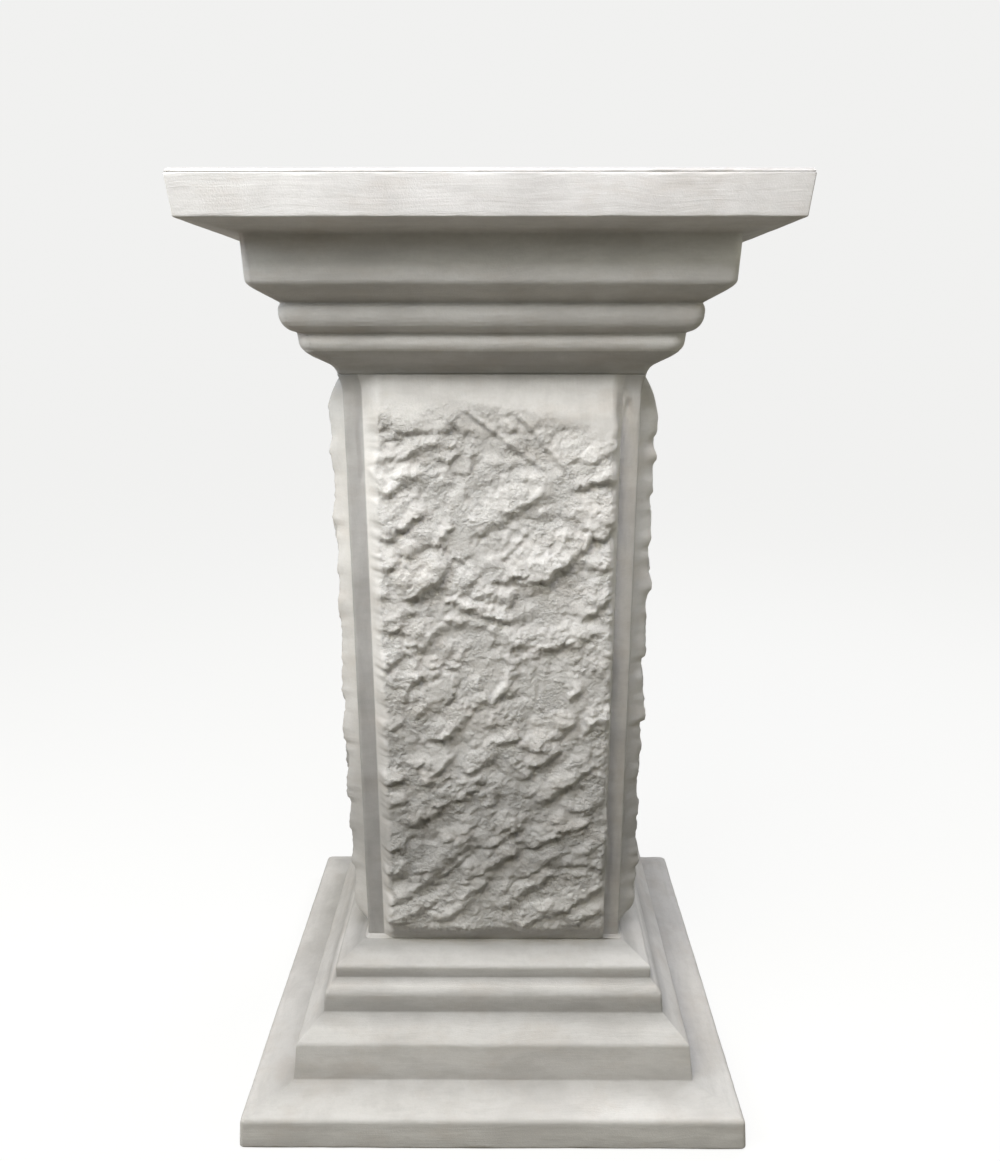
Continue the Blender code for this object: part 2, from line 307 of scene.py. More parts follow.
capital_corners += [
    (BEAD_HALF, Z_GROOVE + 0.80 * BEAD_HEIGHT, 2.0 * MM, 8 * MM, 0.84),
    (BEAD_HALF - 1.6 * MM, Z_BEAD_TOP, 0.6 * MM, 8 * MM, 0.76, 0.92),
    (BED_HALF - 5.2 * MM, Z_BED - 2.0 * MM, 3.0 * MM, 6.5 * MM, 0.90),
    (BED_HALF - 1.2 * MM, Z_BED + 1.5 * MM, 3.5 * MM, 7 * MM, 0.85, 1.07),
    (BED_HALF, Z_BED_TOP, 1.0 * MM, 7 * MM, 0.84, 0.94),
    (SLAB_HALF - 2.4 * MM, Z_SLAB, 1.2 * MM, CRISP, 0.98),
    (SLAB_HALF - 0.1 * MM, TOP - 3.0 * MM, 0.3 * MM, CRISP, 1.03),
    (SLAB_HALF - 0.8 * MM, TOP - 2.6 * MM, 0.2 * MM, CRISP, 0.72),
    (SLAB_HALF - 0.4 * MM, TOP - 2.2 * MM, 0.3 * MM, CRISP, 1.04),
    (SLAB_HALF - 1.4 * MM, TOP, 0.6 * MM, CRISP, 0.92),
    (CAP_HALF, TOP, 0.0, CRISP, 0.80),
]
capital_piece = sweep("capital_casting", capital_corners, 0.30 * MM, 0.18 * MM, "capital")

# %% [markdown]
# ## Filler at the foot
# The shaft was bedded on the base in mortar, and what was squeezed out was smeared round its foot by hand. It
# is an uneven ring in the corner: a closed profile, swept in the same way as the mouldings.

# %% Filler at the foot
PILLAR_HALF = 111.3 * MM
foot_ring = [
    (PILLAR_HALF - 3 * MM, z_seat - 0.8 * MM, 0.0, 3 * MM, 0.84),
    (PILLAR_HALF + 3.4 * MM, z_seat - 0.6 * MM, 0.5 * MM, 5 * MM, 0.84),
    (PILLAR_HALF + 2.0 * MM, z_seat + 1.2 * MM, 1.2 * MM, 4 * MM, 0.82),
    (PILLAR_HALF + 0.3 * MM, z_seat + 3.4 * MM, 0.5 * MM, 3 * MM, 0.84),
    (PILLAR_HALF - 3 * MM, z_seat + 3.6 * MM, 0.0, 3 * MM, 0.84),
]
filler = sweep("joint_filler_foot", foot_ring, 0.5 * MM, 0.5 * MM, ring=True)

# %% [markdown]
# ## Rock face
# Each panel was worked to look like split rock. Lumps lean up to the right: each one swells slowly and breaks
# off along its lower right edge, which leaves the dark ledges. On the seen face the large lumps are the ones
# in the photograph, given by place, size and lean; on the other faces they are scattered with the same sizes.
# Chips, crumb and tool strokes lie over them, rough in some places and smooth in others. A height over a
# flat ground is enough for this, because nothing on the face is undercut. Here u runs across a face and v up
# it, and everything is in millimetres.

# %% Rock face functions
LUMP_LEAN = 42.0
ROW_PITCH = 24
LUMPS_IN_ROW = 5


def plate(along, over, edge, breadth, ragged):
    """Height, 0 to 1, of one flake: it rises across its breadth and falls at its rim, over edge in mm."""
    reach = 1.08 - 0.30 * along ** 2 + 0.22 * ragged
    rise = np.clip(0.60 + 0.40 * over, 0.0, 1.0)
    fall = ease((reach - over) * breadth / edge)
    ends = ease((1.2 - abs(along) + 0.15 * ragged) / 0.6)
    start = ease((over + 1.7) / 1.4)
    return rise * fall * (0.65 + 0.35 * fall) * ends * start


def lump_height(u, v, lumps, edge, ragged):
    """Upper envelope of flakes given by place, half length, half breadth, lean in degrees and height."""
    height = np.zeros(u.shape)
    for u0, v0, length, breadth, lean, top in lumps:
        c, s = math.cos(math.radians(lean)), math.sin(math.radians(lean))
        along = ((u - u0) * c + (v - v0) * s) / length
        over = ((u - u0) * s - (v - v0) * c) / breadth
        height = np.maximum(height, top * plate(along, over, edge, breadth, ragged))
    return height


def chips(u, v, length, breadth, lean, height, edge, share, seed, ragged):
    """Upper envelope of small flakes, one in a share of the cells of a shaken lattice."""
    table = np.random.default_rng(seed).uniform(0, 1, (6, NOISE_CELLS, NOISE_CELLS))
    c, s = math.cos(math.radians(lean)), math.sin(math.radians(lean))
    a = (u * c + v * s) / length
    b = (u * s - v * c) / breadth
    ia, ib = np.floor(a).astype(int), np.floor(b).astype(int)
    result = np.zeros(u.shape)
    for da in (-1, 0, 1):
        for db in (-1, 0, 1):
            cell = (ia + da) % NOISE_CELLS, (ib + db) % NOISE_CELLS
            shift_a, shift_b, size, skew, top, there = (layer[cell] for layer in table)
            pa = (a - (ia + da) - shift_a) * length
            pb = (b - (ib + db) - shift_b) * breadth
            turn = 1.8 * (skew - 0.5)
            along = (pa + turn * pb) / (length * (0.40 + 0.35 * size))
            over = (pb - turn * pa) / (breadth * (0.45 + 0.35 * size))
            tall = height * (0.3 + 0.7 * top) * (there < share)
            result = np.maximum(result, tall * plate(along, over, edge, 0.6 * breadth, ragged))
    return result


def billows(u, v, size, seed, octaves):
    """Rounded tops between sharp valleys: the size of noise, in octaves of half the height each."""
    total = 0.0
    for octave in range(octaves):
        scale = 2.1 ** octave / size
        n = noise(u * scale + 5.1 * octave, v * scale + 9.7 * octave, seed + 1.7 * octave)
        total = total + 0.5 ** octave * (np.sqrt(n * n + 0.01) - 0.1)
    return total


def scattered_lumps(seed, low, high, half):
    """Large lumps for a face that the photograph hides, in rows that are shifted in turn."""
    rng = np.random.default_rng(seed)
    lumps = []
    rows = int((high - low) / ROW_PITCH)
    for row in range(rows + 1):
        for column in range(LUMPS_IN_ROW):
            place = 2 * (column + 0.5 * (row % 2)) / (LUMPS_IN_ROW - 0.5) - 1
            u = half * place + rng.uniform(-0.1, 0.1) * half
            v = low + (row + 0.5) * (high - low) / (rows + 1) + rng.uniform(-7, 7)
            lean = LUMP_LEAN + rng.uniform(-24, 12)
            lumps.append((u, v, rng.uniform(15, 30), rng.uniform(8, 14), lean, rng.uniform(3.6, 6.2)))
    return lumps


# %% [markdown]
# The seen face's lumps, from its head to its foot: across and up in millimetres, half length, half breadth,
# lean in degrees, and height. The first one is the broad smooth pillow near the head.

# %% Lumps of the seen face
SEEN_LUMPS = (
    (-54, 589, 36, 14, -4, 6.0),
    (-59, 568, 30, 8, 22, 4.0),
    (-28, 564, 19, 9, 0, 3.4),
    (74, 564, 19, 8, 8, 3.8),
    (76, 548, 19, 11, 12, 6.0),
    (29, 535, 16, 10, 30, 4.0),
    (-71, 545, 20, 10, 25, 4.4),
    (-72, 518, 25, 15, 42, 5.0),
    (-49, 502, 27, 11, 30, 4.4),
    (49, 493, 37, 17, 38, 5.8),
    (78, 520, 20, 20, 20, 5.6),
    (83, 482, 14, 12, 20, 4.4),
    (74, 455, 20, 17, 45, 5.0),
    (19, 478, 22, 9, 36, 4.6),
    (-53, 473, 25, 14, 35, 4.8),
    (-82, 483, 10, 11, 30, 3.6),
    (1, 457, 18, 9, -10, 5.0),
    (-22, 464, 13, 9, 35, 4.2),
    (-8, 444, 31, 8, -20, 5.6),
    (-75, 438, 16, 11, 42, 4.2),
    (-56, 424, 15, 10, 35, 4.6),
    (-81, 404, 14, 10, 20, 4.8),
    (58, 424, 26, 14, 12, 4.2),
    (9, 423, 19, 11, -35, 4.0),
    (-1, 520, 20, 12, 35, 3.0),
    (-20, 432, 15, 6, -8, 4.4),
    (-72, 387, 16, 11, 42, 4.2),
    (-51, 367, 21, 9, 45, 4.6),
    (-35, 346, 26, 10, 43, 5.6),
    (-2, 389, 22, 20, 70, 3.0),
    (54, 373, 21, 16, 50, 3.8),
    (47, 340, 28, 10, 38, 5.0),
    (87, 353, 10, 10, 0, 4.6),
    (10, 334, 14, 7, 22, 4.2),
    (-50, 312, 21, 12, 52, 4.2),
    (-11, 318, 20, 11, 33, 4.2),
    (-22, 293, 24, 10, 40, 4.0),
    (37, 317, 23, 10, 42, 4.6),
    (58, 299, 30, 11, 42, 4.8),
    (-83, 300, 12, 10, 25, 4.4),
    (-82, 278, 11, 8, 20, 4.0),
    (-50, 274, 27, 11, 35, 4.4),
    (-1, 286, 17, 10, 60, 4.2),
    (75, 276, 20, 13, 30, 3.2),
    (50, 253, 30, 12, 28, 4.8),
    (-28, 250, 20, 9, 28, 4.2),
    (3, 253, 25, 14, 42, 4.8),
    (-82, 239, 15, 9, 30, 4.2),
    (-40, 229, 35, 10, 42, 4.8),
    (-3, 224, 30, 11, 38, 5.0),
    (34, 220, 28, 12, 32, 4.4),
    (79, 233, 20, 24, 80, 4.2),
    (-87, 214, 13, 11, 20, 4.4),
    (-64, 199, 31, 10, 40, 4.4),
    (-24, 195, 31, 12, 38, 4.4),
    (23, 195, 35, 12, 35, 4.8),
    (69, 195, 31, 16, 30, 4.2),
    (-75, 172, 18, 10, 28, 4.4),
    (-37, 174, 24, 9, 36, 4.0),
    (42, 174, 28, 10, 30, 4.0),
    (81, 171, 20, 10, 20, 4.2),
)

# Thin trowel lines: start and end, across and up, and height, below 0 for a groove
TROWEL_LINES = (
    ((-25, 601), (41, 551), 1.8),
    ((18, 596), (56, 552), 1.7),
    ((-50, 601), (-13, 580), 0.7),
    ((-73, 602), (-47, 593), 0.5),
    ((-49, 595), (-29, 603), 0.7),
    ((-31, 603), (16, 598), 0.6),
    ((14, 598), (41, 592), 0.6),
    ((53, 598), (76, 585), 0.6),
    ((47, 529), (66, 507), 0.6),
    ((-64, 538), (-46, 521), 0.5),
    ((-36, 495), (-13, 473), 0.9),
    ((-11, 557), (6, 536), 0.7),
    ((4, 481), (29, 507), 0.9),
    ((9, 477), (34, 502), 0.7),
    ((-35, 487), (-41, 457), 0.5),
    ((-31, 487), (-37, 458), 0.5),
    ((-38, 404), (-11, 393), -1.0),
    ((-3, 403), (7, 371), 0.6),
    ((27, 441), (22, 408), -0.8),
    ((40, 391), (40, 356), 0.6),
    ((-63, 342), (-44, 314), 0.8),
    ((-49, 203), (-16, 232), 0.8),
)
# Smooth trowelled flats: across, up, half width, half height, lean in degrees, level
FLATS = (
    (-21, 556, 8, 8, 5, 2.2),
    (-25, 522, 7, 15, 3, 1.8),
    (-26, 497, 9, 10, -8, 2.2),
    (-12, 402, 9, 14, -12, 1.2),
    (0, 388, 8, 16, -20, 1.6),
    (50, 372, 13, 14, 8, 1.8),
    (-40, 378, 12, 10, 50, 3.0),
)

# Place and reach of the smooth pillow near the head, which has no chips
PILLOW_PLACE = (-54, 592)
PILLOW_REACH = (40, 14)
print(len(SEEN_LUMPS), "lumps,", len(TROWEL_LINES), "trowel lines and", len(FLATS), "flats on the seen face")

# %% [markdown]
# All of it is added up in one function. The flats and the trowel lines come last, because the trowel left
# them on the rough work when that was done.

# %% Relief of a face
def line_height(u, v, start, end, height):
    """A thin raised line between two points, with a shallow groove on its lower left side."""
    (u0, v0), (u1, v1) = start, end
    length = math.hypot(u1 - u0, v1 - v0)
    tu, tv = (u1 - u0) / length, (v1 - v0) / length
    along = (u - u0) * tu + (v - v0) * tv
    aside = (u - u0) * tv - (v - v0) * tu
    inside = ease(along / 6) * ease((length - along) / 6)
    return inside * height * (np.exp(-(aside / 1.7) ** 2) - 0.5 * np.exp(-((aside - 3.4) / 1.8) ** 2))


def rock_relief(side, u, v, lumps):
    """Height of the rock face over its sunk ground: rolling ground + large flakes + chips + rounded puffs +
    crumb in patches + fine upright streaks. Flakes, chips and puffs are read at a place shaken by noise."""
    seed = 9.0 * side
    wu = u + 2.2 * fractal(u / 19, v / 19, 1.5 + seed, 2) + 1.3 * fractal(u / 5, v / 5, 5.5 + seed)
    wv = v + 2.2 * fractal(u / 19, v / 19, 31.5 + seed, 2) + 1.3 * fractal(u / 5, v / 5, 35.5 + seed)
    ragged = fractal(u / 7, v / 7, 55.5 + seed)
    soft = ease(0.5 + 1.4 * noise(u / 13, v / 13, 43.5 + seed))
    rough = ease(0.45 + 1.9 * noise(u / 17, v / 14, 47.5 + seed))
    away = np.hypot((u - PILLOW_PLACE[0]) / PILLOW_REACH[0], (v - PILLOW_PLACE[1]) / PILLOW_REACH[1])
    calm = ease((1.3 - away) / 0.4) if side == 0 else 0.0
    ground = 2.2 * fractal(u / 34, v / 28, 13.5 + seed, 2)
    uneven = 1.15 + 0.35 * noise(u / 11, v / 11, 25.5 + seed)
    big = lump_height(wu, wv, lumps, 6.0 + 4.0 * soft, ragged) * uneven
    medium = chips(wu, wv, 14, 11, 36, 2.2, 3.8, 0.5, 61 + side, ragged)
    small = chips(wu, wv, 6.5, 5.5, 45, 1.4, 2.0, 0.55, 71 + side, ragged) * (0.2 + 0.8 * rough)
    crumb = 1.6 * billows(u, v, 3.6, 82.5 + seed, 2) + 0.5 * fractal(u / 3.0, v / 3.0, 3.5 + seed, 2)
    stroked = ease(0.2 + 1.6 * noise(u / 25, v / 30, 91.5 + seed))
    streaks = 0.26 * stroked * noise(u / 1.8, v / 10, 81.5 + seed)
    puffs = 2.2 * billows(wu, wv, 13.0, 12.5 + seed, 2)
    relief = ground + big + (1 - calm) * (medium + small + puffs) + (0.25 + 0.75 * rough) * (1 - calm) * crumb
    relief = relief + streaks * (1 - calm)
    if side > 0:
        return relief
    for u0, v0, half_u, half_v, lean, level in FLATS:
        c, s = math.cos(math.radians(lean)), math.sin(math.radians(lean))
        a = abs((u - u0) * c + (v - v0) * s) / half_u
        b = abs((v - v0) * c - (u - u0) * s) / half_v
        share = ease((1.15 + 0.45 * ragged - (a ** 3 + b ** 3) ** (1 / 3)) / 0.3)
        relief = relief * (1 - share) + share * (level + 0.04 * (u - u0))
    for start, end, height in TROWEL_LINES:
        relief = relief + line_height(u + 0.15 * (wu - u), v + 0.15 * (wv - v), start, end, height)
    return relief


# %% [markdown]
# ## Shaft
# A square pillar with flat margins at its arrises. From each margin a smooth flank slopes up to the panel's
# wavy edge. At its head the panel slopes back to the pillar and is left smooth; at its foot it falls back
# faster. The filler of the upper joint was smeared down the pillar's head, which flares a little to meet the
# capital.

# %% Measures of the shaft
ARRIS = 1.4 * MM
MARGIN = 14.0 * MM
PROJECTION = 16.2 * MM
HEAD_SLOPE = 32.0 * MM
HEAD_SHARE = 0.25
FOOT_SLOPE = 20.0 * MM
FOOT_SHARE = 0.20
FLARE = 2.8 * MM
FLARE_RISE = 15 * MM
# How far the rock's ground lies below the panel's plane, in mm
SINK = 4.2
# Width of the strip along a panel's edge that was dressed back, and how far
DRESSED_WIDTH = 3 * MM
DRESSED_DEPTH = 1.1 * MM
# The seen panel's edges at its head and at its foot, across
PANEL_LEFT = (-86.0, -90.5)
PANEL_RIGHT = (91.5, 97.0)
z_low, z_high = shaft_low[2], shaft_high[2]
# Where the rock ends and the smooth head begins, across and up, and over what height the ground rises to it
SMOOTH_LINE = ((-90, 611), (-27, 611), (20, 606), (50, 599), (78, 588), (100, 584))
SMOOTH_BAND = 32 * MM
# Share of the relief on the three sides that the photograph hides or shows edge on
SIDE_RELIEF = 0.65
# Painted light and shade with some grime: height and tone of the paint, on the faces and on the margins.
# Both are darker just under the capital, which is painted shade, and darker in a band low down, which is
# painted shade with some grime; the faces are lighter midway up, which is painted light.
FACE_LIGHT_AND_GRIME = ((137, 0.88), (150, 1.06), (180, 1.04), (226, 0.74), (279, 0.84), (330, 1.02), (382, 1.11),
             (434, 1.12), (537, 1.18), (585, 1.10), (606, 0.88), (621, 0.76))
MARGIN_LIGHT_AND_GRIME = ((137, 0.76), (250, 0.71), (330, 0.73), (480, 0.82), (590, 0.85), (606, 0.72), (621, 0.64))
# Tone given to the seen side's right margin as painted light and taken from its left one as painted shade,
# and the mottling of a margin
MARGIN_LIGHT_LEAN = 0.11
MARGIN_MOTTLE = 0.09
# Drag marks on the margins of the seen side: start and end, across and up, and height
MARGIN_LINES = (
    ((103, 606), (95, 562), -2.0),
    ((98, 614), (107, 585), -1.3),
    ((97, 560), (99, 500), -0.7),
    ((-106, 604), (-103, 560), 0.6),
    ((-100, 592), (-99, 540), -0.6),
    ((101, 240), (99, 180), -0.7),
)
print("shaft from", round(z_low, 4), "to", round(z_high, 4))

# %% [markdown]
# One side at a time is a grid of heights and of places across. The columns lie close on the margins and the
# flanks and follow the panel's wavy edges, so that those edges stay sharp.

# %% One side of the shaft
def panel_edges(side, z):
    """Across positions of a panel's two edges at height z: a slow spread to the foot and a broken wave."""
    down = (z_high - z) / (z_high - z_low)
    if side == 0:
        left = (PANEL_LEFT[0] + (PANEL_LEFT[1] - PANEL_LEFT[0]) * down) * MM
        right = (PANEL_RIGHT[0] + (PANEL_RIGHT[1] - PANEL_RIGHT[0]) * down) * MM
    else:
        left, right = (-88 - 3 * down) * MM, (88 + 3 * down) * MM
    amount = ease((z_high - z) / (45 * MM)) * ease((z - z_low) / (18 * MM))
    left = left + amount * 3.4 * MM * fractal(z / (15 * MM), 2.5 + side, 8.5, 4)
    right = right + amount * 1.9 * MM * fractal(z / (17 * MM), 12.5 + side, 18.5, 4)
    return left, right


def panel_share(side, z):
    """Share of the full projection at height z, and how rough the face is there."""
    rise = ease((z - z_low) / FOOT_SLOPE)
    down = np.clip((z_high - z) / HEAD_SLOPE, 0, 1)
    fall = ease(down) if side == 0 else down * (2 - down)
    share = np.minimum(FOOT_SHARE + (1 - FOOT_SHARE) * rise, HEAD_SHARE + (1 - HEAD_SHARE) * fall)
    return share, rise


def places_across(heights, left, right, margin_columns, flank_columns, panel_columns):
    """Across positions (rows, columns) of a side's points: margin, flank, panel, flank and margin."""
    foot_out = PILLAR_HALF - MARGIN
    f = 1 - (1 - np.linspace(0, 1, margin_columns + 1)) ** 1.5
    g = np.linspace(0, 1, flank_columns + 1)[1:] ** 1.5
    h = np.linspace(0, 1, panel_columns + 1)[1:]
    margin_u = -PILLAR_HALF + ARRIS + (MARGIN - ARRIS) * f
    left_margin = np.repeat(margin_u[None], len(heights), 0)
    left_flank = -foot_out + (left + foot_out) * g
    panel = left + (right - left) * h
    right_flank = foot_out - (foot_out - right) * np.append(g[:-1][::-1], 0.0)
    right_margin = np.repeat(-margin_u[::-1][None, 1:], len(heights), 0)
    return np.concatenate([left_margin, left_flank, panel, right_flank, right_margin], 1)


def light_and_grime_tone(side, u, z, height, rock):
    """Tone of the paint: painted light and shade by height, with some grime, on faces and on margins apart,
    painted shade in the hollows of the rock and painted highlight on its tops, and mottling on the margins.
    """
    # Painted shade in the rock's hollows and painted highlight on its tops
    relief_shading = np.clip(1 + 0.03 * height, 0.88, 1.05) ** rock
    face_tone = np.interp(z / MM, *zip(*FACE_LIGHT_AND_GRIME)) * relief_shading
    # The seen side's right margin gets painted light, its left one painted shade
    margin_tone = np.interp(z / MM, *zip(*MARGIN_LIGHT_AND_GRIME)) * (1 + MARGIN_LIGHT_LEAN * np.sign(u) * (side == 0))
    mottle = fractal(u / (9 * MM), z / (24 * MM), 30.5 + side)
    margin_tone = margin_tone * (1 + MARGIN_MOTTLE * mottle)
    on_margin = ease((abs(u) - (PILLAR_HALF - MARGIN)) / (1.0 * MM) + 0.8)
    return face_tone + (margin_tone - face_tone) * on_margin


def hand_finish(side, u, z):
    """Unevenness of the smooth work: more of it near the head, where filler was smeared, and drag marks."""
    smeared = 0.22 + 0.45 * ease((z - z_high + 75 * MM) / (60 * MM))
    hand = smeared * MM * fractal(u / (16 * MM), z / (34 * MM), 60.5 + side, 3)
    if side == 0:
        for begin, end, deep in MARGIN_LINES:
            hand = hand + MM * line_height(u / MM, z / MM, begin, end, deep)
    return hand


def side_grid(side, heights, columns, lumps):
    """Points (rows, columns, 3), run, rock and tone of one side, from its left arris to its right one."""
    z = heights[:, None]
    left, right = (edge[:, None] for edge in panel_edges(side, heights))
    u = places_across(heights, left, right, *columns)
    share, rise = panel_share(side, z)
    if side == 0:
        line = np.interp(u / MM, *zip(*SMOOTH_LINE)) * MM
    else:
        line = z_high - 22 * MM + 6 * MM * noise(u / (40 * MM), 3.5 + side)
    rough = ease((line - z) / (20 * MM) + 0.25 * noise(u / (14 * MM), z / (9 * MM), 50.5)) * rise
    flush = 0.6 * ease(1 + (z - line) / SMOOTH_BAND)
    height = rock_relief(side, u / MM, (z + 0 * u) / MM, lumps) - SINK * (1 - flush)
    relief = MM * height * rough * (1.0 if side == 0 else SIDE_RELIEF)
    inside = np.minimum(u - left, right - u)
    dressed = 1 - ease(inside / DRESSED_WIDTH)
    face_out = PROJECTION * share + relief - DRESSED_DEPTH * dressed

    foot_out = PILLAR_HALF - MARGIN
    margin_columns, flank_columns, panel_columns = columns
    first = margin_columns + flank_columns
    edge_left = face_out[:, first][:, None]
    edge_right = face_out[:, first + panel_columns][:, None]
    ramp_left = (u + foot_out) / (left + foot_out)
    ramp_right = (foot_out - u) / (foot_out - right)
    out = np.where(u < left, edge_left * np.clip(ramp_left, 0, 1),
                   np.where(u > right, edge_right * np.clip(ramp_right, 0, 1), face_out))
    out = np.where(abs(u) >= foot_out, 0.0, np.maximum(out, 0.0))
    flare = FLARE * np.clip(1 - (z_high - z) / FLARE_RISE, 0, 1) ** 2
    out = np.maximum(out, flare) + hand_finish(side, u, z) * dressed
    rock = (1 - dressed) * rough
    tone = light_and_grime_tone(side, u, z, height, rock)

    u = u * (1 + flare / PILLAR_HALF)
    edge_u = PILLAR_HALF - 0.4 * ARRIS + flare
    u = np.concatenate([-edge_u, u, edge_u], 1)
    out = np.concatenate([flare - 0.4 * ARRIS, out, flare - 0.4 * ARRIS], 1)
    rock = np.pad(rock, ((0, 0), (1, 1)))
    tone = np.pad(tone, ((0, 0), (1, 1)), mode="edge")
    x, y = on_side(side, u, PILLAR_HALF + out)
    points = np.stack([x, y, z + 0 * u], -1)
    wobble = 9 * MM * fractal(u / (40 * MM), z / (70 * MM), 80.5 + side, 2)
    run = np.stack([z + 1.3 * side + 0 * u, u + wobble + 2.1 * side], -1)
    return points, run, rock, tone


# %% [markdown]
# The four grids become one closed skin. The seen face has twice as many rows as the others, and more columns,
# so pentagons along its two arrises join its rows to theirs. Two flat faces close the head and the foot.

# %% Shaft
# Columns of a margin, of a flank and of the panel
fine_columns = (8, 6, 138)
coarse_columns = (3, 3, 56)
fine_rows = 341
fine_heights = np.linspace(z_low, z_high, fine_rows)
coarse_heights = fine_heights[::2]
blocks = [side_grid(0, fine_heights, fine_columns, SEEN_LUMPS)]
for side in (1, 2, 3):
    lumps = scattered_lumps(100 + side, (z_low + FOOT_SLOPE) / MM, (z_high - 0.7 * HEAD_SLOPE) / MM, 88)
    grid = side_grid(side, coarse_heights, coarse_columns, lumps)
    last = None if side < 3 else -1
    blocks.append(tuple(part[:, 1:last] for part in grid))

index = []
start = 0
for points, run, rock, tone in blocks:
    rows, columns = rock.shape
    index.append(np.arange(start, start + rows * columns).reshape(rows, columns))
    start += rows * columns


def grid_faces(ids):
    """Quads of a grid of point numbers, facing out."""
    return np.stack([ids[:-1, :-1], ids[:-1, 1:], ids[1:, 1:], ids[1:, :-1]], -1).reshape(-1, 4).tolist()


seen_ids, right_ids, back_ids, left_ids = index
faces = grid_faces(seen_ids) + grid_faces(right_ids)
faces += grid_faces(np.concatenate([right_ids[:, -1:], back_ids], 1))
faces += grid_faces(np.concatenate([back_ids[:, -1:], left_ids], 1))
for i in range(len(coarse_heights) - 1):
    a, b, c = (int(seen_ids[2 * i + k, -1]) for k in range(3))
    faces.append((a, int(right_ids[i, 0]), int(right_ids[i + 1, 0]), c, b))
    a, b, c = (int(seen_ids[2 * i + k, 0]) for k in range(3))
    faces.append((int(left_ids[i, -1]), a, b, c, int(left_ids[i + 1, -1])))
foot_loop = [int(v) for ids in index for v in ids[0]]
head_loop = [int(v) for ids in index for v in ids[-1]]
faces += [tuple(foot_loop[::-1]), tuple(head_loop)]
points, run, rock, tone = (np.concatenate([part.reshape(-1, *part.shape[2:]) for part in parts])
                           for parts in zip(*blocks))
shaft_piece = make_piece("shaft_casting", points, faces, run, rock, tone, "shaft")

# %% [markdown]
# ## Painted cast stone
# One coat of off-white masonry paint over cast stone. Three node groups give its parts: soft grey and warm
# clouds left by handling and weather, brush marks along the mouldings, and a fine sandy grain. They only feed
# the shader's colour and normal. A few short helpers make the nodes.

# %% Node helpers
def new_group(name, outputs):
    """Shader node group with float outputs."""
    group = bpy.data.node_groups.new(name, "ShaderNodeTree")
    for label in outputs:
        group.interface.new_socket(name=label, in_out="OUTPUT", socket_type="NodeSocketFloat")
    leave = group.nodes.new("NodeGroupOutput")
    return group, leave


def math_node(tree, operation, a, b):
    """Math node of two values, each a number or a socket."""
    node = tree.nodes.new("ShaderNodeMath")
    node.operation = operation
    for socket, value in zip(node.inputs, (a, b)):
        if isinstance(value, (int, float)):
            socket.default_value = value
        else:
            tree.links.new(value, socket)
    return node.outputs[0]


def noise_node(tree, vector, scale, detail, roughness):
    """Noise texture read at a vector socket."""
    node = tree.nodes.new("ShaderNodeTexNoise")
    node.inputs["Scale"].default_value = scale
    node.inputs["Detail"].default_value = detail
    node.inputs["Roughness"].default_value = roughness
    tree.links.new(vector, node.inputs["Vector"])
    return node.outputs["Fac"]


def spread(tree, value, low, high):
    """Map a value from low..high to 0..1, held."""
    node = tree.nodes.new("ShaderNodeMapRange")
    tree.links.new(value, node.inputs["Value"])
    node.inputs["From Min"].default_value = low
    node.inputs["From Max"].default_value = high
    return node.outputs["Result"]


def point_value(tree, label):
    """Value that every point of a piece carries under a label."""
    node = tree.nodes.new("ShaderNodeAttribute")
    node.attribute_name = label
    return node.outputs["Fac"]


def tint(tree, below, colour, amount):
    """Colour socket with some of a colour laid over what is below."""
    node = tree.nodes.new("ShaderNodeMix")
    node.data_type = "RGBA"
    tree.links.new(amount, node.inputs["Factor"])
    tree.links.new(below, node.inputs["A"])
    node.inputs["B"].default_value = (*colour, 1.0)
    return node.outputs["Result"]


# %% [markdown]
# Brush marks follow the run that every point carries, because the brush followed the mouldings. Clouds and
# grain are read at the place on the object, so that they run on over an arris.

# %% Brush marks, stains and grain
def brush_group():
    """Brush marks: noise drawn out along the run, as a height, and as broad streaks of colour."""
    group, leave = new_group("brush_marks", ("Height", "Fine", "Streak"))
    along = point_value(group, "run_along")
    across = point_value(group, "run_across")
    vector = group.nodes.new("ShaderNodeCombineXYZ")
    group.links.new(math_node(group, "MULTIPLY", along, 18.0), vector.inputs[0])
    group.links.new(math_node(group, "MULTIPLY", across, 420.0), vector.inputs[1])
    broad = group.nodes.new("ShaderNodeCombineXYZ")
    group.links.new(math_node(group, "MULTIPLY", along, 20.0), broad.inputs[0])
    group.links.new(math_node(group, "MULTIPLY", across, 95.0), broad.inputs[1])
    group.links.new(noise_node(group, vector.outputs[0], 1.0, 3.0, 0.55), leave.inputs["Height"])
    group.links.new(noise_node(group, vector.outputs[0], 2.7, 2.0, 0.6), leave.inputs["Fine"])
    group.links.new(noise_node(group, broad.outputs[0], 1.0, 6.0, 0.62), leave.inputs["Streak"])
    return group


def stain_group():
    """Soft stains of the paint: a grey, a warm and a small-spot mask."""
    group, leave = new_group("soft_stains", ("Grey", "Warm", "Spots"))
    place = group.nodes.new("ShaderNodeTexCoord").outputs["Object"]
    flatter = group.nodes.new("ShaderNodeVectorMath")
    flatter.operation = "MULTIPLY"
    flatter.inputs[1].default_value = (1.0, 1.0, 2.2)
    group.links.new(place, flatter.inputs[0])
    masks = (("Grey", 14.0, 0.45, 0.62), ("Warm", 20.0, 0.50, 0.66), ("Spots", 120.0, 0.50, 0.70))
    for label, scale, low, high in masks:
        mask = spread(group, noise_node(group, flatter.outputs[0], scale, 6.0, 0.64), low, high)
        group.links.new(mask, leave.inputs[label])
    return group


